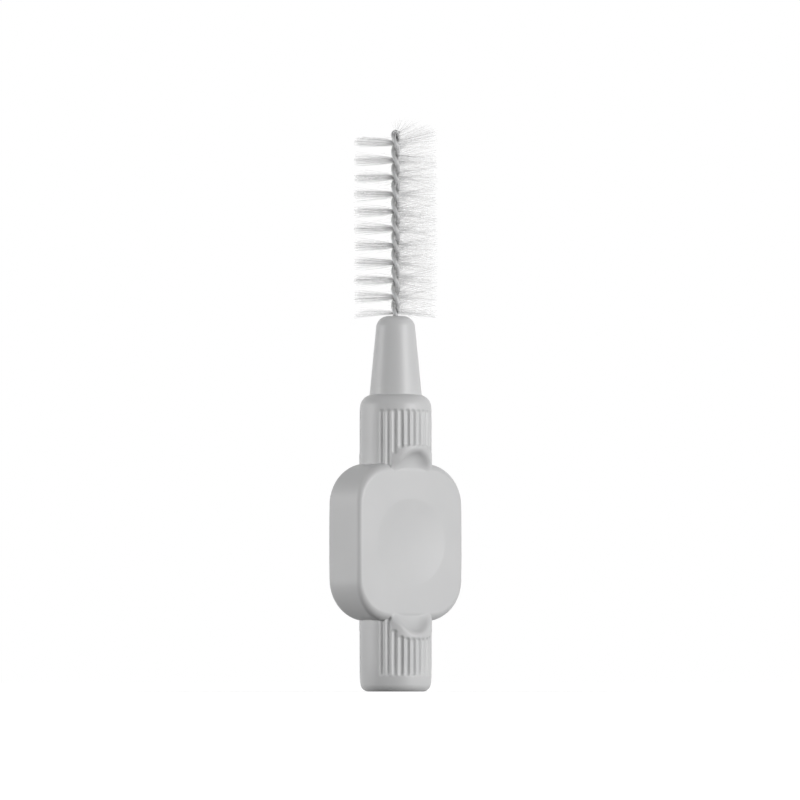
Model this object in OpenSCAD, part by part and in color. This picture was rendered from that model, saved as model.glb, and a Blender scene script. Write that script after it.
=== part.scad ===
// Interdental brush: a one-piece moulded handle, a coated wire that is folded
// double and twisted, and the filaments that the twist clamps. It stands on the
// flat end of its handle with the brush up. All lengths are in millimetres.

/* [Collars] */
// Diameter of the two round collars, above and below the thumb panel
collar_d = 7.12; // [6.8:0.02:7.6]
// Height of the lower collar, from the flat end up to the panel
lower_collar_h = 6.86; // [6:0.02:10]
// Height of the upper collar, from the panel up to the shoulder
upper_collar_h = 6.74; // [6:0.02:10]
// Radius of the rounding around the flat end
end_round_r = 1; // [0.5:0.05:1.2]
// Radius of the rounding around the shoulder
shoulder_round_r = 0.8; // [0.5:0.05:0.9]
// Height of the slight taper at each collar's free end, rounding included
taper_h = 1.4; // [1.3:0.05:1.8]
// Draft angle of that taper, in degrees
taper_angle = 7; // [3:0.5:8]

/* [Flutes] */
// Number of flutes on each face of a collar
flute_count = 13; // [7:2:13]
// Angle from one flute to the next, in degrees
flute_step = 10.3; // [10:0.1:11]
// Radius of a flute's round bottom
flute_r = 0.25; // [0.2:0.01:0.26]
// Depth of a flute
flute_depth = 0.19; // [0.12:0.01:0.2]
// Plain height between the flutes and the collar's free end
flute_margin = 1.5; // [1.45:0.05:1.8]
// Plain height between the top of the scoop and the flutes over it
flute_rim = 0.34; // [0.2:0.02:0.6]
// Plain width between the side of the scoop and the flutes beside it
flute_side = 0.84; // [0.7:0.02:1]

/* [Thumb panel] */
// Width of the panel
panel_w = 13.1; // [11:0.1:16]
// Height of the panel
panel_h = 15.34; // [13:0.02:20]
// Thickness of the panel
panel_t = 4.9; // [4.5:0.05:5.4]
// Radius of the panel's corners, seen from the front
panel_corner_r = 3.95; // [2.5:0.05:4.6]
// Radius of the rounding along the panel's edges
panel_edge_r = 0.6; // [0.25:0.05:0.7]
// Width of the half-round scoop in the collar, where it meets the panel's end
scoop_w = 3.6; // [3.2:0.1:4]
// Height of the scoop over the panel's end
scoop_h = 1.38; // [1:0.02:1.5]
// Radius of the concave corner around the scoop's floor
scoop_corner_r = 0.6; // [0.4:0.05:0.7]
// Radius of the ramp from the panel's face up to the collar, beside the scoop
ramp_r = 1; // [0.8:0.05:1.1]
// Diameter of the shallow thumb dish in each face
dish_d = 8.5; // [6:0.1:9.5]
// Depth of the thumb dish at its middle
dish_depth = 0.3; // [0.15:0.05:0.4]

/* [Neck] */
// Height of the conical neck above the shoulder
neck_h = 7.7; // [6:0.1:12]
// Radius of the rounding around the neck's tip
neck_round_r = 1.05; // [0.7:0.05:1.2]
// Width of the flat ring between the neck and the shoulder's rounding
shoulder_land = 0.06; // [0.04:0.01:0.2]
// Width of the flat ring around the wire at the neck's tip
tip_land = 0.38; // [0.3:0.02:0.5]

/* [Wire stem] */
// Diameter of the bare steel wire
wire_d = 0.28; // [0.24:0.01:0.32]
// Thickness of the plastic coating on the wire
coating_t = 0.055; // [0.04:0.005:0.07]
// Height over which the folded wire makes one full left-hand turn
twist_pitch = 3.35; // [3:0.05:4]
// Angle of the first wire leg at the foot of the brush, in degrees
twist_start = 49; // [0:1:180]
// Length of stem moulded into the handle
stem_depth = 9; // [6:0.1:14]

/* [Brush] */
// Diameter of the brush over the filament tips
brush_d = 8.3; // [7:0.1:9.5]
// Length of the twisted part that holds filaments
brush_l = 17.6; // [15:0.1:20]
// Height of bare wire between the neck and the first filament
brush_gap = 0.2; // [0.15:0.05:0.4]
// Number of filaments in each of the rows; each shows two strands
row_filaments = 33; // [26:1:36]
// Thickness of a filament where the two wires clamp it
filament_t = 0.08; // [0.06:0.005:0.09]
// Height of a filament, along the stem
filament_h = 0.055; // [0.045:0.005:0.06]
// Largest angle at which a filament leans up or down, in degrees
fan_angle = 7; // [0:0.5:7]
// Angle by which the topmost filaments splay upwards, in degrees
splay_angle = 20; // [0:1:24]

/* [Hidden] */
// Clearance of a part that is clamped or moulded round another
seat_gap = 0.01;
// Overrun of a cutter past the surface that it cuts
over = 0.5;
// Depth of the ramp's start under the panel's face, and height of the scoop's floor over it
face_sink = 0.02;
// Share of the ramp that lies within the panel's height
ramp_share = 0.85;
// Number of rows, each one node of filaments
row_count = 6;
// Sides and rings of the wire's tube
wire_sides = 8;
rings_per_turn = 10;
loop_rings = 6;
$fn = 96;

// Handle heights
panel_z = lower_collar_h;
panel_top = panel_z + panel_h;
shoulder_z = panel_top + upper_collar_h;
tip_z = shoulder_z + neck_h;
collar_r = collar_d / 2;
face_y = panel_t / 2;
ramp_y = face_y - face_sink;
ramp_start = ramp_r * ramp_share;
scoop_y = face_y + face_sink;
scoop_r = (scoop_w * scoop_w / 4 + scoop_h * scoop_h) / (2 * scoop_h);
scoop_drop = scoop_r - scoop_h;

// Wire and twist radii
wire_r = wire_d / 2;
coated_r = wire_r + coating_t;
twist_r = coated_r + filament_t / 2 + seat_gap;
stem_r = twist_r + coated_r;
bore_r = stem_r + seat_gap;
stem_z = tip_z - stem_depth;

// Brush heights
brush_z = tip_z + brush_gap;
brush_top = brush_z + brush_l;
loop_z = brush_top + seat_gap;
filament_total = row_count * row_filaments;
filament_step = brush_l / filament_total;
// Half the width of the clamped filament band, just inside the stem's outline
band_share = 0.7;
band_r = stem_r * band_share;
brush_r = brush_d / 2;

// Lean of the filaments: two waves, so that neighbours never cross
lean_wave_a = 25;
lean_wave_b = 61;
lean_mix = 0.5;
far_side_phase = 140;
splay_filaments = 14;
droop_filaments = 8;
droop_angle = 5;

// Profile radii of the handle
end_flat_r = collar_r - taper_run(end_round_r) - end_round_r * cos(taper_angle);
shoulder_flat_r = collar_r - taper_run(shoulder_round_r)
    - shoulder_round_r * cos(taper_angle);
neck_base_r = shoulder_flat_r - shoulder_land;
tip_flat_r = bore_r + tip_land;
fillet_share = 0.8;
neck_fillet = shoulder_land * fillet_share;
// Slope of the neck: the line from its base that just touches the tip's rounding
neck_run = neck_base_r - tip_flat_r;
neck_rise = neck_h - neck_round_r;
neck_angle = acos(neck_round_r / norm([neck_run, neck_rise]))
    - atan2(neck_rise, neck_run);

// How far the taper draws in from its start to where a rounding of radius r takes over
function taper_run(r) = tan(taper_angle) * (taper_h - r + r * sin(taper_angle));

function unit(v) = v / norm(v);
function polar(r, a) = [r * cos(a), r * sin(a)];

// Flat pieces of the handle's outline

// Slice of a disc of radius r about c, from angle a to angle b
module slice(c, r, a, b) {
    reach = 2 * r;
    intersection() {
        translate(c) circle(r);
        polygon([c, c + polar(reach, a), c + polar(reach, (a + b) / 2), c + polar(reach, b)]);
    }
}

// Half of the handle's section: collars, shoulder and neck, for turning about Z
module bar_section() {
    end_c = [end_flat_r, end_round_r];
    shoulder_c = [shoulder_flat_r, shoulder_z - shoulder_round_r];
    tip_c = [tip_flat_r, tip_z - neck_round_r];
    polygon([
        [0, 0],
        [end_flat_r, 0],
        end_c,
        end_c + polar(end_round_r, -taper_angle),
        [collar_r, taper_h],
        [collar_r, shoulder_z - taper_h],
        shoulder_c + polar(shoulder_round_r, taper_angle),
        shoulder_c,
        [shoulder_flat_r, shoulder_z],
        [neck_base_r + neck_fillet, shoulder_z],
        [neck_base_r - neck_fillet * tan(neck_angle), shoulder_z + neck_fillet],
        tip_c + polar(neck_round_r, neck_angle),
        tip_c,
        [tip_flat_r, tip_z],
        [0, tip_z]
    ]);
    slice(end_c, end_round_r, -90, -taper_angle);
    slice(shoulder_c, shoulder_round_r, taper_angle, 90);
    slice(tip_c, neck_round_r, neck_angle, 90);
}

// Section through the panel's rim, from the corner's centre out to the edge
module rim_section() {
    flat_r = panel_corner_r - panel_edge_r;
    edge_y = face_y - panel_edge_r;
    polygon([
        [0, -face_y],
        [flat_r, -face_y],
        [flat_r, -edge_y],
        [panel_corner_r, -edge_y],
        [panel_corner_r, edge_y],
        [flat_r, edge_y],
        [flat_r, face_y],
        [0, face_y]
    ]);
    slice([flat_r, edge_y], panel_edge_r, 0, 90);
    slice([flat_r, -edge_y], panel_edge_r, -90, 0);
}

// Rim piece along one side of the panel, of the given length, rim towards +X
module side_piece(length) {
    translate([0, 0, -length / 2]) linear_extrude(length) rim_section();
}

// Thumb panel: a plate with round corners and rounded edges, standing on panel_z
module panel() {
    core_w = panel_w - 2 * panel_corner_r;
    core_h = panel_h - 2 * panel_corner_r;
    translate([0, 0, panel_z + panel_h / 2]) {
        cube([core_w, panel_t, core_h], center = true);
        for (side = [0, 1]) mirror([side, 0, 0])
            translate([core_w / 2, 0, 0]) side_piece(core_h);
        for (end = [0, 1]) mirror([0, 0, end]) {
            translate([0, 0, core_h / 2]) rotate([0, -90, 0]) side_piece(core_w);
            for (side = [0, 1]) mirror([side, 0, 0])
                translate([core_w / 2, 0, core_h / 2]) rotate([90, 0, 0])
                    rotate_extrude(angle = 90) rim_section();
        }
    }
}

// Ramped trough that lays the front of the bar level with the panel's face
module ramp_cut() {
    low = [ramp_y + ramp_r, panel_z + ramp_start];
    high = [ramp_y + ramp_r, panel_top - ramp_start];
    outside = collar_r + over;
    rotate([90, 0, 90]) translate([0, 0, -outside]) linear_extrude(2 * outside) {
        polygon([
            low - [ramp_r, 0],
            low,
            low - [0, ramp_r],
            [outside, low[1] - ramp_r],
            [outside, high[1] + ramp_r],
            high + [0, ramp_r],
            high,
            high - [ramp_r, 0]
        ]);
        slice(high, ramp_r, 90, 180);
        slice(low, ramp_r, 180, 270);
    }
}

// Half-round scoop over each end of the panel, with a rounded corner at its floor
module scoop_cuts() {
    floor_r = scoop_r - scoop_corner_r;
    depth = collar_r + over - scoop_y;
    for (z = [panel_z + scoop_drop, panel_top - scoop_drop])
        translate([0, scoop_y, z]) rotate([-90, 0, 0]) rotate_extrude() {
            polygon([
                [0, 0],
                [floor_r, 0],
                [floor_r, scoop_corner_r],
                [scoop_r, scoop_corner_r],
                [scoop_r, depth],
                [0, depth]
            ]);
            slice([floor_r, scoop_corner_r], scoop_corner_r, -90, 0);
        }
}

// Height over the panel's end at which the flute at angle a begins; zero or less
// where it runs on into the panel
function flute_rise(a) = let (
        reach = scoop_r + flute_side,
        across = collar_r * sin(a),
        past = reach * reach - across * across)
    past > 0 ? min(scoop_h + flute_rim, sqrt(past) - scoop_drop) : 0;

// One flute at angle a from the middle of the face, from height low to height high
module flute_cut(a, low, high) {
    rotate([0, 0, a]) translate([0, collar_r + flute_r - flute_depth, 0]) {
        translate([0, 0, low]) cylinder(h = high - low, r = flute_r);
        translate([0, 0, low]) sphere(flute_r);
        translate([0, 0, high]) sphere(flute_r);
    }
}

// Flutes of both collars on the face towards +Y
module flute_cuts() {
    for (i = [0:flute_count - 1]) {
        a = (i - (flute_count - 1) / 2) * flute_step;
        rise = flute_rise(a);
        keep = rise > 0 ? rise + flute_r : -flute_r;
        flute_cut(a, flute_margin + flute_r, panel_z - keep);
        flute_cut(a, panel_top + keep, shoulder_z - flute_margin - flute_r);
    }
}

// Ball that presses the thumb dish into the face towards +Y
module dish_cut() {
    ball_r = (pow(dish_d / 2, 2) + dish_depth * dish_depth) / (2 * dish_depth);
    translate([0, face_y + ball_r - dish_depth, panel_z + panel_h / 2]) sphere(ball_r);
}

// Moulded handle with its bore for the stem
module handle() {
    color("silver") difference() {
        union() {
            difference() {
                rotate_extrude() bar_section();
                for (turn = [0, 180]) rotate([0, 0, turn]) {
                    ramp_cut();
                    scoop_cuts();
                    flute_cuts();
                }
            }
            panel();
        }
        for (turn = [0, 180]) rotate([0, 0, turn]) dish_cut();
        translate([0, 0, stem_z - seat_gap]) cylinder(h = stem_depth + over, r = bore_r);
    }
}

// Route of the wire: up one leg, over the loop at the tip, down the other leg.
// Each stop is a height and a share of the twist radius: 1 on the first leg, -1 on
// the second, and between them on the loop.
leg_h = loop_z - stem_z;
leg_rings = ceil(leg_h / twist_pitch * rings_per_turn);
leg_stops = [for (i = [0:leg_rings]) [stem_z + leg_h * i / leg_rings, 1]];
loop_stops = [for (i = [1:loop_rings - 1]) let (t = 180 * i / loop_rings)
    [loop_z + twist_r * sin(t), cos(t)]];
wire_stops = concat(leg_stops, loop_stops,
    [for (i = [leg_rings:-1:0]) [leg_stops[i][0], -1]]);
wire_rings = len(wire_stops);

// Direction of the first wire leg at height z, left-handed
function leg_angle(z) = twist_start - 360 * (z - brush_z) / twist_pitch;
function wire_point(stop) = let (p = polar(twist_r * stop[1], leg_angle(stop[0])))
    [p[0], p[1], stop[0]];
wire_path = [for (stop = wire_stops) wire_point(stop)];

// Directions across the wire at ring i: towards the inside of its bend, and square to that
function wire_frame(i) =
    let (p = wire_path[i],
        inward = [-p[0], -p[1], min(p[2], loop_z) - p[2]],
        ends = i == 0 || i == wire_rings - 1,
        run = ends ? [0, 0, i == 0 ? 1 : -1] : unit(wire_path[i + 1] - wire_path[i - 1]),
        a = unit(inward - run * (inward * run)))
    [a, cross(run, a)];
wire_frames = [for (i = [0:wire_rings - 1]) wire_frame(i)];
function wire_ring(i, r) = [for (s = [0:wire_sides - 1]) let (c = polar(r, 360 * s / wire_sides))
    wire_path[i] + c[0] * wire_frames[i][0] + c[1] * wire_frames[i][1]];
function wire_skin(r) = [for (i = [0:wire_rings - 1]) each wire_ring(i, r)];

// Triangles of a tube's wall, whose points start at index base
function wall_faces(base, outward) = [for (i = [0:wire_rings - 2], s = [0:wire_sides - 1])
    let (n = (s + 1) % wire_sides,
        a = base + i * wire_sides + s,
        b = base + i * wire_sides + n,
        c = b + wire_sides,
        d = a + wire_sides)
    each outward ? [[a, d, c], [a, c, b]] : [[a, c, d], [a, b, c]]];
last_ring = (wire_rings - 1) * wire_sides;

// Bare steel wire
module wire_core() {
    caps = [for (s = [1:wire_sides - 2]) each
        [[0, s, s + 1], [last_ring, last_ring + s + 1, last_ring + s]]];
    color("lightsteelblue")
        polyhedron(wire_skin(wire_r - seat_gap / 2), concat(wall_faces(0, true), caps));
}

// Plastic coating, a skin along the whole wire
module wire_coating() {
    inner = wire_rings * wire_sides;
    caps = [for (s = [0:wire_sides - 1]) let (n = (s + 1) % wire_sides) each [
        [s, n, inner + n],
        [s, inner + n, inner + s],
        [last_ring + s, inner + last_ring + n, last_ring + n],
        [last_ring + s, inner + last_ring + s, inner + last_ring + n]
    ]];
    color("gray") polyhedron(concat(wire_skin(coated_r), wire_skin(wire_r)),
        concat(wall_faces(0, true), wall_faces(inner, false), caps));
}

// Lean of filament k on one side of the stem, in degrees above the level
function lean(k, side) = let (
        phase = side > 0 ? 0 : far_side_phase,
        wave = sin(k * lean_wave_a + phase) + lean_mix * sin(k * lean_wave_b + phase),
        up = max(0, k - (filament_total - splay_filaments)) / splay_filaments,
        down = max(0, droop_filaments - k) / droop_filaments)
    fan_angle * wave / (1 + lean_mix) * (1 - up) * (1 - down)
        + splay_angle * up - droop_angle * down;

// The band of clamped filaments is a twisted strip; these are its corners at height z
function filament_angle(z) = leg_angle(z) + 90;
function band_corners(z) = let (a = filament_angle(z))
    [for (c = [[1, 1], [1, -1], [-1, -1], [-1, 1]])
        let (p = polar(band_r * c[0], a) + polar(filament_t / 2 * c[1], a + 90))
        [p[0], p[1], z]];
function filament_z(k) = brush_z + k * filament_step + (filament_step - filament_h) / 2;

// Where a strand's root corners move to, from the band's edge to the brush's outside
function strand_reach(k, side) = let (
        run = brush_r - band_r,
        p = polar(side * run, filament_angle(filament_z(k) + filament_h / 2)))
    [p[0], p[1], run * tan(lean(k, side))];

// Corner order of a strand's root on each side of the band, as [corner, level]
near_root = [[1, 0], [1, 1], [0, 1], [0, 0]];
far_root = [[3, 0], [3, 1], [2, 1], [2, 0]];

// One row of filaments, fused to its slice of the band
module bristle_row(row) {
    first = (row - 1) * row_filaments;
    starts = [for (i = [0:row_filaments - 1]) filament_z(first + i)];
    levels = concat([brush_z + first * filament_step],
        [for (z = starts) each [z, z + filament_h]],
        [brush_z + (first + row_filaments) * filament_step]);
    ring_count = len(levels);
    top = 4 * (ring_count - 1);
    band = [for (z = levels) each band_corners(z)];
    tips = [for (i = [0:row_filaments - 1], side = [1, -1])
        each [for (c = side > 0 ? near_root : far_root)
            band[4 * (1 + 2 * i + c[1]) + c[0]] + strand_reach(first + i, side)]];
    // Walls of the band: all four in a gap, the two flat ones where strands leave it
    walls = [for (j = [0:ring_count - 2], s = j % 2 == 0 ? [0, 1, 2, 3] : [1, 3])
        let (p = 4 * j + s, q = 4 * j + (s + 1) % 4)
        each [[q, q + 4, p + 4], [q, p + 4, p]]];
    strands = [for (i = [0:row_filaments - 1], side = [0, 1])
        let (root = [for (c = side == 0 ? near_root : far_root) 4 * (1 + 2 * i + c[1]) + c[0]],
            tip = 4 * ring_count + 4 * (2 * i + side))
        each concat([[tip, tip + 1, tip + 2], [tip, tip + 2, tip + 3]],
            [for (e = [0:3]) let (n = (e + 1) % 4)
                each [[root[e], root[n], tip + n], [root[e], tip + n, tip + e]]])];
    caps = [[0, 3, 2], [0, 2, 1], [top, top + 1, top + 2], [top, top + 2, top + 3]];
    color("white") polyhedron(concat(band, tips), concat(walls, strands, caps));
}

handle();
wire_core();
wire_coating();
for (row = [1:row_count])
    bristle_row(row);
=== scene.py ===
"""Interdental brush: its finished surfaces, light and camera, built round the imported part.

Shapes are worked out in millimetres and written to the meshes in metres.
"""

import math

import bpy
import numpy as np
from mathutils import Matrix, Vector


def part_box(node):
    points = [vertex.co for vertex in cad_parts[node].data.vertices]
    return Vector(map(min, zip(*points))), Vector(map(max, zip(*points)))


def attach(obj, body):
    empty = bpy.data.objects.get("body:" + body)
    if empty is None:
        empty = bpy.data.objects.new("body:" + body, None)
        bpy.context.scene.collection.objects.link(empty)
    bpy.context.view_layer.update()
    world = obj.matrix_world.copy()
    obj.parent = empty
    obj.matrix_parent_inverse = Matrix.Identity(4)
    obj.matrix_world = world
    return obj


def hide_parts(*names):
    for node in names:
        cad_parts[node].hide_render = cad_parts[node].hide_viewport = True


MM = 0.001
SEED = 7

# Frame of the photograph
IMAGE_PX = 800
PX_PER_MM = 10.25
AXIS_PX = (395.6, 400.0)  # where the camera's height meets the brush's axis
FOOT_PX = 691.5
CAMERA_AZIMUTH = -39.5
CAMERA_HEIGHT = 1.0  # mm above the floor, so that it looks up a little
CAMERA_DISTANCE = 700.0
CAMERA_NEAR, CAMERA_FAR = 0.01, 10  # metres
SENSOR = 36.0

# Handle: what the frame's boxes don't give
COLLAR_R = 3.56
LOWER_COLLAR_H = 6.86
UPPER_COLLAR_H = 6.74
NECK_H = 7.7
NECK_ROOT = 1.0  # how far the neck runs down inside the upper collar
NECK_BASE_R = 2.55
NECK_TIP_R = 1.8
NECK_ROUND_R = 1.05
NECK_FILLET = 0.06
PANEL_T = 4.9
PANEL_CORNER_R = 3.95
PANEL_EDGE_R = 0.4  # at the middle of each side
PANEL_END_EDGE_R = 1.0  # at the two ends
PANEL_EDGE_POWER = 3  # the higher, the nearer to the ends the edge grows rounder
TAPER_H = 1.9  # at each end of the bar
TAPER_SLOPE = math.radians(6)
TAPER_SOFTNESS = 0.1
END_ROUND_R = 0.7
SHOULDER_ROUND_R = 1.1
RAMP_R = 1.0
RAMP_SOFTNESS = 0.4
RAMP_START = 0.85  # how far inside the panel's end the bar's ramp starts
SCOOP_W = 4.5
SCOOP_H = 1.25  # how far a scoop reaches beyond the panel's end
SCOOP_CORNER_R = 1.6
RIM_SOFTNESS = 0.4
FLUTE_STEP = math.radians(10.3)
FLUTE_R = 0.3
FLUTE_DEPTH = 0.19
FLUTE_SOFTNESS = 0.14
FLUTE_MARGIN = 1.5  # from the flutes to the collar's outer end
# How far beyond the panel's end each flute begins, from the middle one outwards.
# 0 is a flute that runs on into the panel.
FLUTE_RISES = [1.65, 1.65, 1.6, 1.42, 0.85, 0, 0]
DISH_D = 8.5
DISH_DEPTH = 0.3
DISH_SOFTNESS = 0.02
BORE_R = 0.45
STEM_DEPTH = 9.0

# How the handle's surface is found
GRID_STEP = 0.075
GRID_MARGIN = 2  # cells round the box
SETTLING_PASSES = 4
SLOPE_SPAN = 0.01  # to each side of a point where the slope is taken
LEAST_STEEPNESS = 0.25  # squared

# Wire
WIRE_R = 0.14
COATED_R = 0.195
TWIST_R = 0.245
TWIST_PITCH = 3.35
TWIST_START = math.radians(49)
WIRE_SIDES = 16
WIRE_RINGS_PER_TURN = 24
LOOP_RINGS = 14
LOOP_GAP = 0.01  # from the top of the brush to the start of the loop

# Filaments
ROWS = 6
BRUSH_GAP = 0.2
BRUSH_L = 17.6
BRUSH_R = 4.145
FILAMENTS = 2400
FILAMENT_R = 0.012
FILAMENT_SIDES = 4
FILAMENT_STEPS = 5  # lengths of each half, from the wire to the tip
STEP_CROWDING = 1.5  # how closely those lengths crowd towards the wire
FILAMENT_PLACES = 0.1, 0.9  # where in its own stretch of the wire a filament may sit
TIP_LENGTH = 0.6  # as a share of the filament's radius, as the next is
TIP_R = 0.5
AZIMUTH_SCATTER = math.radians(5)
LEAN_SCATTER = math.radians(2.8)
WORN_SCATTER = math.radians(11)  # lean on the side that use has splayed
WORN_AZIMUTH_SCATTER = math.radians(16)
WORN_TOWARDS = math.radians(-50)
WORN_SPREAD = 0.2  # how far round the wear has turned the filaments
LOOSE_SPREAD = 0.7  # how far round it has only loosened them
# Use has parted the filaments: near the side away from the wear they lie in bunches
BUNCH_TOWARDS = math.radians(140.5)
PARTING_FROM = np.radians([0, 42, 52, 114, 180])
PARTING_TO = np.radians([0, 32, 88, 108, 180])
PARTING_PINCH = [0.65, 0.65, 0, 0, 0]  # how far each bunch is drawn together at the wire
BUNCH_FAN = 0.6  # how far it fans out at the tips, as a share of that
PINCH_POWER = 4  # the higher, the nearer to the wire it is drawn together
SWING_R = 1.1  # how far from the wire's middle filaments still bend round to their new way
LEAN_LIMIT = math.radians(16)
CURL_SCATTER = 0.07
CURL_POWER = 2
LENGTH_SCATTER = 0.045
SPLAY_H = 2.0  # top of the brush over which the filaments splay upwards
SPLAY = math.radians(4)
WORN_SPLAY = math.radians(17.2)
DROOP_H = 0.5
DROOP = math.radians(5)

# Looks: two tints or two roughnesses are the ends of a variation over the surface
WHITE = (1, 1, 1, 1)
NOISE_REACH = 0.3, 0.7  # the noise passes from one end to the other between these
HANDLE_TINTS = (0.52, 0.522, 0.525), (0.545, 0.546, 0.548)
HANDLE_ROUGHNESS = 0.42, 0.52
HANDLE_IOR = 1.49
FLOW_SCALE = 180.0  # cycles to a metre, as every scale here
GRAIN_SCALE, GRAIN_DETAIL = 9000.0, 3.0
GRAIN_HEIGHT, GRAIN_STRENGTH = 0.000012, 0.35  # height in metres
SKIN_TINTS = (0.44, 0.442, 0.445), (0.5, 0.502, 0.505)
SKIN_SCALE = 1200.0
SKIN_ROUGHNESS = 0.32
SKIN_IOR = 1.5
STEEL_COLOUR = (0.56, 0.56, 0.57, 1)
STEEL_ROUGHNESS = 0.25, 0.4
STEEL_SCALE = 4000.0
FILAMENT_TINTS = (0.915, 0.918, 0.921), (0.945, 0.947, 0.949)
FILAMENT_SCALE = 700.0
FILAMENT_ROUGHNESS = 0.5
FILAMENT_IOR = 1.45
FILAMENT_TRANSMISSION = 0.45
FILAMENT_ALPHA = 0.17

# Light
KEY_AZIMUTH, KEY_POWER = 52.0, 9.6
FILL_AZIMUTH, FILL_POWER = -83.0, 6.5
LAMP_DISTANCE = 900.0
LAMP_SIZE = 500.0
BRUSH_MIDDLE = 28.0  # height that the lamps point at
LAMP_RISE = 90.0  # above that height
WALLS = 0.18, 1.0  # light of the studio walls before and behind the brush
WALLS_REACH = -0.5, 0.75  # how far back a ray points where one passes into the other
CEILING = 1, 0.1  # share of that light at the horizon and overhead
CEILING_REACH = 0.05, 0.7  # how far up a ray points there

# Floor
FLOOR_HALF = 2000.0
FLOOR_ROUGHNESS = 0.9
FLOOR_GREYS = 0.2, 0.6  # as it lights the brush, and as it is seen
FLOOR_GLOW = 0.71, 1.0  # beside the foot, where the shadow falls, and far out, where all is white
FLOOR_GLOW_REACH = 20 * MM, 80 * MM


# Helpers


def add_mesh(name, points, faces, smooth=True):
    """A new object from points in millimetres."""
    mesh = bpy.data.meshes.new(name)
    mesh.from_pydata((np.asarray(points) * MM).tolist(), [], faces)
    mesh.polygons.foreach_set("use_smooth", [smooth] * len(mesh.polygons))
    mesh.update()
    piece = bpy.data.objects.new(name, mesh)
    bpy.context.scene.collection.objects.link(piece)
    return piece


def tube_walls(rings, sides):
    """Quads between neighbouring closed rings of points, as indices."""
    walls = []
    for i in range(rings - 1):
        low, high = i * sides, (i + 1) * sides
        for s in range(sides):
            n = (s + 1) % sides
            walls.append((low + s, low + n, high + n, high + s))
    return walls


def unit(vectors):
    """The same directions, each of length 1."""
    return vectors / np.linalg.norm(vectors, axis=-1, keepdims=True)


def wrapped(angle):
    """The same angle, from minus half a turn to half a turn."""
    return (angle + math.pi) % (2 * math.pi) - math.pi


def arc_radius(chord, depth):
    """Radius of the circle that is this deep over a chord of this length."""
    return ((chord / 2) ** 2 + depth**2) / (2 * depth)


def part_sizes():
    """Heights and widths that the shapes share, in millimetres."""
    low, high = (np.array(corner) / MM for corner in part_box("handle"))
    tip_z = high[2]
    shoulder_z = tip_z - NECK_H
    panel_top = shoulder_z - UPPER_COLLAR_H
    return {
        "low": low,
        "high": high,
        "tip_z": tip_z,
        "shoulder_z": shoulder_z,
        "panel_mid": (LOWER_COLLAR_H + panel_top) / 2,
        "half_h": (panel_top - LOWER_COLLAR_H) / 2,
        "half_w": high[0],
        "face_y": PANEL_T / 2,
        "brush_z": tip_z + BRUSH_GAP,
    }


# Handle


def round_max(a, b, r):
    """Where both fields are inside, with the edge between them rounded to r."""
    corner = np.hypot(np.maximum(a + r, 0), np.maximum(b + r, 0))
    return np.minimum(np.maximum(a, b), -r) + corner


def soft_max(a, b, k):
    """Where both fields are inside, with a soft transition of width k."""
    h = np.maximum(k - np.abs(a - b), 0) / k
    return np.maximum(a, b) + h * h * k / 4


def soft_min(a, b, k):
    """Where either field is inside, with a soft transition of width k."""
    return -soft_max(-a, -b, k)


def bar_field(r, z, sizes):
    """Collars, shoulder and neck, by distance r from the axis and height z."""
    taper_cos, taper_sin = math.cos(TAPER_SLOPE), math.sin(TAPER_SLOPE)
    over_taper = np.maximum(TAPER_H - z, z - (sizes["shoulder_z"] - TAPER_H))
    tapered = (r - COLLAR_R) * taper_cos + over_taper * taper_sin
    side = soft_max(r - COLLAR_R, tapered, TAPER_SOFTNESS)
    lower_end = round_max(side, -z, END_ROUND_R)
    collars = round_max(lower_end, z - sizes["shoulder_z"], SHOULDER_ROUND_R)
    slope = math.atan2(NECK_BASE_R - NECK_TIP_R, NECK_H)
    neck_r = NECK_BASE_R - (z - sizes["shoulder_z"]) * math.tan(slope)
    cone = (r - neck_r) * math.cos(slope)
    neck = round_max(cone, z - sizes["tip_z"], NECK_ROUND_R)
    neck = np.maximum(neck, sizes["shoulder_z"] - NECK_ROOT - z)
    return soft_min(collars, neck, NECK_FILLET)


def panel_field(x, y, z, sizes):
    """Thumb panel, with round corners and rounded edges."""
    from_mid = np.abs(z - sizes["panel_mid"])
    dx = x - (sizes["half_w"] - PANEL_CORNER_R)
    dz = from_mid - (sizes["half_h"] - PANEL_CORNER_R)
    corner = np.hypot(np.maximum(dx, 0), np.maximum(dz, 0))
    outline = corner + np.minimum(np.maximum(dx, dz), 0) - PANEL_CORNER_R
    end_share = np.clip(from_mid / sizes["half_h"], 0, 1) ** PANEL_EDGE_POWER
    edge_r = PANEL_EDGE_R + (PANEL_END_EDGE_R - PANEL_EDGE_R) * end_share
    return round_max(outline, y - sizes["face_y"], edge_r)


def scoop_field(x, y, z, sizes):
    """Ramped trough that lays the bar's front level with the face, and the scoop at each end."""
    over_face = sizes["face_y"] - y
    from_mid = np.abs(z - sizes["panel_mid"])
    ramp = round_max(over_face, from_mid - (sizes["half_h"] - RAMP_START + RAMP_R), RAMP_R)
    scoop_r = arc_radius(SCOOP_W, SCOOP_H)
    centre = sizes["half_h"] + SCOOP_H - scoop_r
    scoop = round_max(over_face, np.hypot(x, from_mid - centre) - scoop_r, SCOOP_CORNER_R)
    return soft_min(ramp, scoop, RAMP_SOFTNESS)


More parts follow.
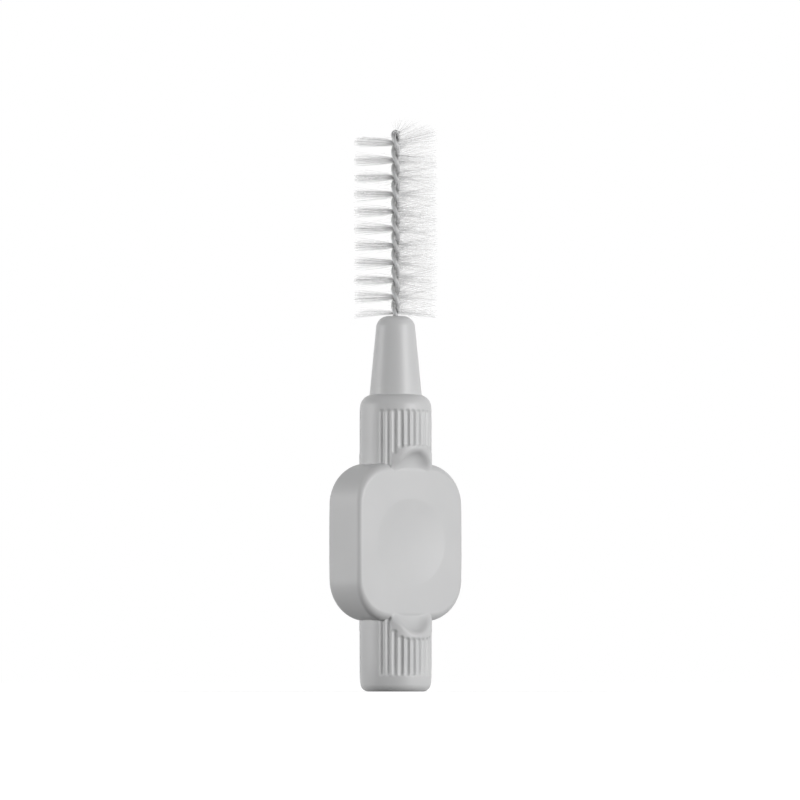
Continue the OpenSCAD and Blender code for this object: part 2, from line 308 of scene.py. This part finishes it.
def flute_field(x, y, z, sizes):
    """The nearest flute, as the distance to a capsule."""
    angle = np.arctan2(x, y)
    place = np.clip(np.round(angle / FLUTE_STEP), 0, len(FLUTE_RISES) - 1).astype(int)
    middle = place * FLUTE_STEP
    centre_r = COLLAR_R + FLUTE_R - FLUTE_DEPTH
    across = np.hypot(x - centre_r * np.sin(middle), y - centre_r * np.cos(middle))
    rise = np.array(FLUTE_RISES)[place]
    keep = np.where(rise > 0, rise + FLUTE_R, -FLUTE_R)
    from_mid = np.abs(z - sizes["panel_mid"])
    above_mid = sizes["shoulder_z"] - sizes["panel_mid"]
    collar_end = np.where(z < sizes["panel_mid"], sizes["panel_mid"], above_mid)
    inner, outer = sizes["half_h"] + keep, collar_end - FLUTE_MARGIN - FLUTE_R
    beyond = np.maximum(np.maximum(inner - from_mid, from_mid - outer), 0)
    return np.hypot(across, beyond) - FLUTE_R


def handle_field(points, sizes):
    """Signed distance to the handle's surface, near it, at points in millimetres."""
    x, y, z = np.abs(points[..., 0]), np.abs(points[..., 1]), points[..., 2]
    r = np.hypot(x, y)
    bar = bar_field(r, z, sizes)
    bar = soft_max(bar, -scoop_field(x, y, z, sizes), RIM_SOFTNESS)
    bar = soft_max(bar, -flute_field(x, y, z, sizes), FLUTE_SOFTNESS)
    solid = np.minimum(bar, panel_field(x, y, z, sizes))
    ball_r = arc_radius(DISH_D, DISH_DEPTH)
    ball_y = sizes["face_y"] + ball_r - DISH_DEPTH
    dish = np.sqrt(x**2 + (y - ball_y) ** 2 + (z - sizes["panel_mid"]) ** 2) - ball_r
    solid = soft_max(solid, -dish, DISH_SOFTNESS)
    bore = np.maximum(r - BORE_R, sizes["tip_z"] - STEM_DEPTH - z)
    return np.maximum(solid, -bore)


def field_slope(field, points):
    """Gradient of a field at points."""
    steps = np.eye(3) * SLOPE_SPAN
    rises = [field(points + step) - field(points - step) for step in steps]
    return np.stack(rises, axis=-1) / (2 * SLOPE_SPAN)


def grid_values(field, axes):
    """A field's values on a grid, worked out layer by layer."""
    values = np.empty([len(a) for a in axes], np.float32)
    flat_x, flat_y = np.meshgrid(axes[0], axes[1], indexing="ij")
    for k, z in enumerate(axes[2]):
        layer = np.stack([flat_x, flat_y, np.full_like(flat_x, z)], axis=-1)
        values[:, :, k] = field(layer)
    return values


def crossed_cells(values):
    """A quad for each grid edge that the zero surface crosses, between the four cells round it.

    Gives the cell and the crossing that belong to each corner, and then the quads.
    """
    inside = values < 0
    cells, crossings, quads = [], [], []
    for axis in range(3):
        near = [slice(None)] * 3
        far = [slice(None)] * 3
        near[axis], far[axis] = slice(0, -1), slice(1, None)
        found = np.argwhere(inside[tuple(near)] != inside[tuple(far)])
        ahead = found.copy()
        ahead[:, axis] += 1
        v0, v1 = values[tuple(found.T)], values[tuple(ahead.T)]
        crossing = found.astype(float)
        crossing[:, axis] += v0 / (v0 - v1)
        u, v = (axis + 1) % 3, (axis + 2) % 3
        corners = []
        for du, dv in ((-1, -1), (0, -1), (0, 0), (-1, 0)):
            cell = found.copy()
            cell[:, u] += du
            cell[:, v] += dv
            corners.append(np.ravel_multi_index(tuple(cell.T), values.shape))
            crossings.append(crossing)
        cells += corners
        quad = np.stack(corners, axis=-1)
        quads.append(np.where((v0 < 0)[:, None], quad, quad[:, ::-1]))
    return np.concatenate(cells), np.concatenate(crossings), np.concatenate(quads)


def surface_mesh(field, low, high, step):
    """Closed mesh of a field's zero surface: one point in each grid cell that it crosses."""
    margin = GRID_MARGIN * step
    axes = [np.arange(a - margin, b + (GRID_MARGIN + 1) * step, step) for a, b in zip(low, high)]
    corner_cells, crossings, quads = crossed_cells(grid_values(field, axes))
    cells, place = np.unique(corner_cells, return_inverse=True)
    counts = np.bincount(place)
    middle = np.stack([np.bincount(place, along) / counts for along in crossings.T], axis=-1)
    points = np.array([a[0] for a in axes]) + middle * step
    for _ in range(SETTLING_PASSES):
        slope = field_slope(field, points)
        steep = np.maximum((slope**2).sum(axis=-1), LEAST_STEEPNESS)
        move = -slope * (field(points) / steep)[:, None]
        points = points + np.clip(move, -step / 2, step / 2)
    return points, np.searchsorted(cells, quads)


def make_handle(sizes):
    """The whole moulding, as one closed surface."""
    low, high = sizes["low"], sizes["high"]
    points, faces = surface_mesh(lambda p: handle_field(p, sizes), low, high, GRID_STEP)
    handle = add_mesh("handle_moulding", np.clip(points, low, high), faces.tolist())
    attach(handle, "root")
    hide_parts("handle")
    return handle


# Wire


def leg_angle(z, sizes):
    """Direction of the first wire leg at height z, twisted left-handed."""
    return TWIST_START - 2 * math.pi * (z - sizes["brush_z"]) / TWIST_PITCH


def wire_route(sizes):
    """Points along the folded wire, and the inward direction at each."""
    loop_z = sizes["brush_z"] + BRUSH_L + LOOP_GAP
    foot_z = sizes["tip_z"] - STEM_DEPTH
    rings = math.ceil((loop_z - foot_z) / TWIST_PITCH * WIRE_RINGS_PER_TURN)
    up = [(foot_z + (loop_z - foot_z) * i / rings, 1.0) for i in range(rings + 1)]
    turns = [math.pi * i / LOOP_RINGS for i in range(1, LOOP_RINGS)]
    loop = [(loop_z + TWIST_R * math.sin(t), math.cos(t)) for t in turns]
    stops = up + loop + [(z, -share) for z, share in reversed(up)]
    z = np.array([s[0] for s in stops])
    reach = TWIST_R * np.array([s[1] for s in stops])
    angle = leg_angle(z, sizes)
    route = np.stack([reach * np.cos(angle), reach * np.sin(angle), z], axis=-1)
    inward = np.stack([-route[:, 0], -route[:, 1], np.minimum(z, loop_z) - z], axis=-1)
    return route, inward


def sweep(route, inward, radius, sides):
    """Rings of points round a route."""
    run = np.gradient(route, axis=0)
    run[0], run[-1] = (0, 0, 1), (0, 0, -1)
    run = unit(run)
    a = unit(inward - run * (inward * run).sum(axis=1, keepdims=True))
    b = np.cross(run, a)
    turn = 2 * math.pi * np.arange(sides) / sides
    ring = a[:, None] * np.cos(turn)[None, :, None] + b[:, None] * np.sin(turn)[None, :, None]
    return (route[:, None] + radius * ring).reshape(-1, 3)


def make_coating(sizes):
    """Open-ended skin along the whole wire."""
    route, inward = wire_route(sizes)
    outer = sweep(route, inward, COATED_R, WIRE_SIDES)
    inner = sweep(route, inward, WIRE_R, WIRE_SIDES)
    inside = len(outer)  # where the inner points begin
    walls = tube_walls(len(route), WIRE_SIDES)
    faces = walls + [tuple(inside + i for i in reversed(wall)) for wall in walls]
    end = inside - WIRE_SIDES
    for s in range(WIRE_SIDES):
        n = (s + 1) % WIRE_SIDES
        faces.append((s, inside + s, inside + n, n))
        faces.append((end + n, inside + end + n, inside + end + s, end + s))
    coating = add_mesh("coating_skin", np.concatenate([outer, inner]), faces)
    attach(coating, "root")
    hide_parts("wire_coating")
    return coating


# Filaments


def parted(turn):
    """Directions of filaments after use has bunched some of them and combed the others away.

    Also gives how far each is drawn along the wire, towards the middle of its bunch.
    """
    from_bunch = wrapped(turn - BUNCH_TOWARDS)
    moved = np.interp(np.abs(from_bunch), PARTING_FROM, PARTING_TO)
    pinch = np.interp(np.abs(from_bunch), PARTING_FROM, PARTING_PINCH)
    drawn = pinch * from_bunch / (2 * math.pi) * TWIST_PITCH
    return BUNCH_TOWARDS + np.copysign(moved, from_bunch), drawn


def towards_wear(turn, spread):
    """1 on the worn side of the brush and 0 on the other, by direction."""
    return np.clip(np.cos(turn - WORN_TOWARDS) + spread, 0, 1)


def filament_paths(rng, sizes, first, count):
    """Middle lines of a row's filaments, from one tip through the wire to the other."""
    brush_z = sizes["brush_z"]
    order = first + np.arange(count)
    z = brush_z + BRUSH_L * (order + rng.uniform(*FILAMENT_PLACES, count)) / FILAMENTS
    direction = leg_angle(z, sizes) + math.pi / 2
    share = np.linspace(0, 1, FILAMENT_STEPS + 1) ** STEP_CROWDING
    halves = []
    for side in (0, 1):
        born = direction + math.pi * side
        turn, drawn = parted(born)
        turn += rng.normal(0, AZIMUTH_SCATTER, count)
        worn = towards_wear(turn, WORN_SPREAD)
        turn += rng.normal(0, WORN_AZIMUTH_SCATTER, count) * worn
        loose = towards_wear(turn, LOOSE_SPREAD)
        scatter = LEAN_SCATTER + (WORN_SCATTER - LEAN_SCATTER) * loose
        lean = np.clip(rng.normal(0, 1, count) * scatter, -LEAN_LIMIT, LEAN_LIMIT)
        up = np.clip((z - (brush_z + BRUSH_L - SPLAY_H)) / SPLAY_H, 0, 1)
        down = np.clip((brush_z + DROOP_H - z) / DROOP_H, 0, 1)
        splay = SPLAY + (WORN_SPLAY - SPLAY) * loose
        lean = lean * (1 - up) * (1 - down) + splay * up - DROOP * down
        curl = rng.normal(0, CURL_SCATTER, count) * (1 - up)
        reach = BRUSH_R * (1 - np.abs(rng.normal(0, LENGTH_SCATTER, count)))
        out = reach[:, None] * share
        still_to_swing = np.clip(1 - out / SWING_R, 0, 1)
        heading = turn[:, None] - wrapped(turn - born)[:, None] * still_to_swing
        rise = out * np.tan(lean)[:, None] + curl[:, None] * share**CURL_POWER
        rise += drawn[:, None] * ((1 - share) ** PINCH_POWER - BUNCH_FAN * share)
        half = [out * np.cos(heading), out * np.sin(heading), z[:, None] + rise]
        halves.append(np.stack(half, axis=-1))
    return np.concatenate([halves[1][:, :0:-1], halves[0]], axis=1)


def filament_mesh(paths):
    """Filaments round their middle lines, narrowed at the tips, as one set of closed tubes."""
    run = unit(np.gradient(paths, axis=1))
    side = unit(np.cross(run, (0, 0, 1)))
    up = np.cross(side, run)
    tip = FILAMENT_R * TIP_LENGTH
    first, last = paths[:, :1] - run[:, :1] * tip, paths[:, -1:] + run[:, -1:] * tip
    paths = np.concatenate([first, paths, last], axis=1)
    side = np.concatenate([side[:, :1], side, side[:, -1:]], axis=1)
    up = np.concatenate([up[:, :1], up, up[:, -1:]], axis=1)
    width = np.full(paths.shape[1], FILAMENT_R)
    width[[0, -1]] *= TIP_R
    turn = 2 * math.pi * np.arange(FILAMENT_SIDES) / FILAMENT_SIDES
    ring = side[:, :, None] * np.cos(turn)[:, None] + up[:, :, None] * np.sin(turn)[:, None]
    points = paths[:, :, None] + ring * width[:, None, None]
    count, rings = points.shape[:2]
    walls = np.array(tube_walls(rings, FILAMENT_SIDES))
    size = rings * FILAMENT_SIDES
    starts = np.arange(count) * size
    faces = [tuple(face) for start in starts for face in walls + start]
    for start in starts:
        faces.append(tuple(start + i for i in range(FILAMENT_SIDES))[::-1])
        faces.append(tuple(start + size - FILAMENT_SIDES + i for i in range(FILAMENT_SIDES)))
    return points.reshape(-1, 3), faces


def make_row(row, rng, sizes):
    """One row of filaments, in place of one plain row of strands."""
    count = FILAMENTS // ROWS
    points, faces = filament_mesh(filament_paths(rng, sizes, row * count, count))
    piece = add_mesh(f"filaments_{row + 1}", points, faces)
    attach(piece, "root")
    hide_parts(f"bristle_row_{row + 1}")
    return piece


# Materials


def new_material(name):
    """A new material, its node tree and its shader."""
    material = bpy.data.materials.new(name)
    material.use_nodes = True
    tree = material.node_tree
    return material, tree, tree.nodes["Principled BSDF"]


def set_values(shader, values):
    """Values that are the same all over the surface, by the names of their sockets."""
    for socket, value in values.items():
        shader.inputs[socket].default_value = value


def object_noise(tree, scale, detail=2.0):
    """Noise that is fixed to the object, from 0 to 1."""
    place = tree.nodes.new("ShaderNodeTexCoord")
    noise = tree.nodes.new("ShaderNodeTexNoise")
    noise.inputs["Scale"].default_value = scale
    noise.inputs["Detail"].default_value = detail
    tree.links.new(place.outputs["Object"], noise.inputs["Vector"])
    return noise.outputs["Fac"]


def vary(tree, shader, socket, noise, ends):
    """Lets noise move a socket of the shader between two values or colours."""
    node = tree.nodes.new("ShaderNodeValToRGB")
    for stop, position, value in zip(node.color_ramp.elements, NOISE_REACH, ends):
        stop.position = position
        stop.color = (*value, 1) if isinstance(value, tuple) else (value, value, value, 1)
    tree.links.new(noise, node.inputs["Fac"])
    tree.links.new(node.outputs["Color"], shader.inputs[socket])


def bump(tree, shader, noise, height, strength):
    """Makes the surface look raised, by up to a height in metres, where the noise is high."""
    node = tree.nodes.new("ShaderNodeBump")
    node.inputs["Strength"].default_value = strength
    node.inputs["Distance"].default_value = height
    tree.links.new(noise, node.inputs["Height"])
    tree.links.new(node.outputs["Normal"], shader.inputs["Normal"])


def handle_material():
    """Satin moulded plastic with a fine spark-eroded grain and faint flow marks."""
    material, tree, shader = new_material("satin_plastic")
    vary(tree, shader, "Base Color", object_noise(tree, FLOW_SCALE), HANDLE_TINTS)
    grain = object_noise(tree, GRAIN_SCALE, GRAIN_DETAIL)
    vary(tree, shader, "Roughness", grain, HANDLE_ROUGHNESS)
    bump(tree, shader, grain, GRAIN_HEIGHT, GRAIN_STRENGTH)
    set_values(shader, {"IOR": HANDLE_IOR})
    return material


def coating_material():
    """Smooth dark plastic skin."""
    material, tree, shader = new_material("dark_skin")
    vary(tree, shader, "Base Color", object_noise(tree, SKIN_SCALE), SKIN_TINTS)
    set_values(shader, {"Roughness": SKIN_ROUGHNESS, "IOR": SKIN_IOR})
    return material


def steel_material():
    """Drawn steel wire, seen only at the skin's open ends."""
    material, tree, shader = new_material("drawn_steel")
    vary(tree, shader, "Roughness", object_noise(tree, STEEL_SCALE), STEEL_ROUGHNESS)
    set_values(shader, {"Base Color": STEEL_COLOUR, "Metallic": 1})
    return material


def filament_material():
    """White translucent filament."""
    material, tree, shader = new_material("white_filament")
    vary(tree, shader, "Base Color", object_noise(tree, FILAMENT_SCALE), FILAMENT_TINTS)
    set_values(shader, {"Roughness": FILAMENT_ROUGHNESS, "IOR": FILAMENT_IOR})
    set_values(shader, {"Transmission Weight": FILAMENT_TRANSMISSION, "Alpha": FILAMENT_ALPHA})
    return material


def dress(piece, material):
    """Gives a piece its only material."""
    piece.data.materials.clear()
    piece.data.materials.append(material)


# Floor and light


def around(azimuth, distance, height):
    """A place in metres, at this azimuth from the front of the brush."""
    a = math.radians(azimuth)
    return Vector((math.sin(a) * distance, -math.cos(a) * distance, height)) * MM


def aim(thing, target):
    """Turns a lamp or the camera towards a place."""
    thing.rotation_euler = (target - thing.location).to_track_quat("-Z", "Y").to_euler()


def combined(tree, operation, first, second):
    """The outcome of an operation on two outputs."""
    node = tree.nodes.new("ShaderNodeMath")
    node.operation = operation
    tree.links.new(first, node.inputs[0])
    tree.links.new(second, node.inputs[1])
    return node.outputs[0]


def seen_directly(tree):
    """1 for rays from the camera, or by way of gloss or glass, and 0 for the rest."""
    path = tree.nodes.new("ShaderNodeLightPath")
    seen = path.outputs["Is Camera Ray"]
    for ray in ("Is Glossy Ray", "Is Transmission Ray"):
        seen = combined(tree, "MAXIMUM", seen, path.outputs[ray])
    return seen


def ray_along(tree, place, direction):
    """How far a ray of the world points in a direction, from -1 to 1."""
    facing = tree.nodes.new("ShaderNodeVectorMath")
    facing.operation = "DOT_PRODUCT"
    facing.inputs[1].default_value = direction
    tree.links.new(place.outputs["Generated"], facing.inputs[0])
    return facing.outputs["Value"]


def spread(tree, source, given, wanted):
    """A smooth step from one value to another while the source crosses a range."""
    node = tree.nodes.new("ShaderNodeMapRange")
    node.interpolation_type = "SMOOTHSTEP"
    node.inputs["From Min"].default_value, node.inputs["From Max"].default_value = given
    node.inputs["To Min"].default_value, node.inputs["To Max"].default_value = wanted
    tree.links.new(source, node.inputs["Value"])
    return node.outputs["Result"]


def set_world():
    """Studio walls that light the brush, and a plain white that is seen in their place."""
    world = bpy.data.worlds.new("studio")
    world.use_nodes = True
    tree = world.node_tree
    tree.nodes.clear()
    lit = tree.nodes.new("ShaderNodeBackground")
    white = tree.nodes.new("ShaderNodeBackground")
    for background in (lit, white):
        background.inputs["Color"].default_value = WHITE
        background.inputs["Strength"].default_value = 1
    place = tree.nodes.new("ShaderNodeTexCoord")
    backwards = around(CAMERA_AZIMUTH + 180, 1 / MM, 0)  # a metre long, so a unit vector
    walls = spread(tree, ray_along(tree, place, backwards), WALLS_REACH, WALLS)
    ceiling = spread(tree, ray_along(tree, place, (0, 0, 1)), CEILING_REACH, CEILING)
    tree.links.new(combined(tree, "MULTIPLY", walls, ceiling), lit.inputs["Strength"])
    mix = tree.nodes.new("ShaderNodeMixShader")
    out = tree.nodes.new("ShaderNodeOutputWorld")
    tree.links.new(seen_directly(tree), mix.inputs["Fac"])
    tree.links.new(lit.outputs[0], mix.inputs[1])
    tree.links.new(white.outputs[0], mix.inputs[2])
    tree.links.new(mix.outputs[0], out.inputs["Surface"])
    bpy.context.scene.world = world


def make_floor():
    """A wide floor that keeps the brush's shadow and is white further out."""
    half = FLOOR_HALF
    corners = [(-half, -half, 0), (half, -half, 0), (half, half, 0), (-half, half, 0)]
    floor = add_mesh("floor", corners, [(0, 1, 2, 3)], smooth=False)
    material, tree, shader = new_material("pale_floor")
    seen = seen_directly(tree)
    tree.links.new(spread(tree, seen, (0, 1), FLOOR_GREYS), shader.inputs["Base Color"])
    set_values(shader, {"Roughness": FLOOR_ROUGHNESS, "Specular IOR Level": 0})
    set_values(shader, {"Emission Color": WHITE})
    place = tree.nodes.new("ShaderNodeTexCoord")
    from_foot = tree.nodes.new("ShaderNodeVectorMath")
    from_foot.operation = "LENGTH"
    tree.links.new(place.outputs["Object"], from_foot.inputs[0])
    level = spread(tree, from_foot.outputs["Value"], FLOOR_GLOW_REACH, FLOOR_GLOW)
    glow = combined(tree, "MULTIPLY", seen, level)
    tree.links.new(glow, shader.inputs["Emission Strength"])
    dress(floor, material)


def add_lamp(name, azimuth, power):
    """A soft lamp, at an azimuth measured from the camera's, positive to its right."""
    lamp = bpy.data.lights.new(name, "AREA")
    lamp.shape = "DISK"
    lamp.size = LAMP_SIZE * MM
    lamp.energy = power
    thing = bpy.data.objects.new(name, lamp)
    bpy.context.scene.collection.objects.link(thing)
    thing.location = around(CAMERA_AZIMUTH + azimuth, LAMP_DISTANCE, BRUSH_MIDDLE + LAMP_RISE)
    aim(thing, Vector((0, 0, BRUSH_MIDDLE * MM)))


def add_camera():
    """The photograph's camera: its scale, its angle and where it has the brush's axis."""
    camera = bpy.data.cameras.new("camera")
    thing = bpy.data.objects.new("camera", camera)
    bpy.context.scene.collection.objects.link(thing)
    span = IMAGE_PX / PX_PER_MM
    camera.sensor_width = SENSOR
    camera.lens = SENSOR * CAMERA_DISTANCE / span
    camera.clip_start = CAMERA_NEAR
    camera.clip_end = CAMERA_FAR
    thing.location = around(CAMERA_AZIMUTH, CAMERA_DISTANCE, CAMERA_HEIGHT)
    a = math.radians(CAMERA_AZIMUTH)
    right = Vector((math.cos(a), math.sin(a), 0))
    shift = (IMAGE_PX / 2 - AXIS_PX[0]) / PX_PER_MM
    middle_z = (FOOT_PX - AXIS_PX[1]) / PX_PER_MM
    thing.location += right * shift * MM
    aim(thing, right * shift * MM + Vector((0, 0, middle_z * MM)))
    bpy.context.scene.camera = thing


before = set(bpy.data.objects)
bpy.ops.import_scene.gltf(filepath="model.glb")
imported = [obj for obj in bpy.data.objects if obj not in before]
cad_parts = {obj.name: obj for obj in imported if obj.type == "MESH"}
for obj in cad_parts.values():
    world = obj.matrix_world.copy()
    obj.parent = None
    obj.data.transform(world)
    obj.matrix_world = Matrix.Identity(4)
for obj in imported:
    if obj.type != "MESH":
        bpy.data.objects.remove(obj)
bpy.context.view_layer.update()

sizes = part_sizes()
dress(make_handle(sizes), handle_material())
dress(make_coating(sizes), coating_material())
dress(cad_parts["wire_core"], steel_material())
rng = np.random.default_rng(SEED)
filament_look = filament_material()
for row in range(ROWS):
    dress(make_row(row, rng, sizes), filament_look)

make_floor()
set_world()
add_lamp("key", KEY_AZIMUTH, KEY_POWER)
add_lamp("fill", FILL_AZIMUTH, FILL_POWER)
add_camera()
bpy.context.scene.view_settings.view_transform = "Standard"
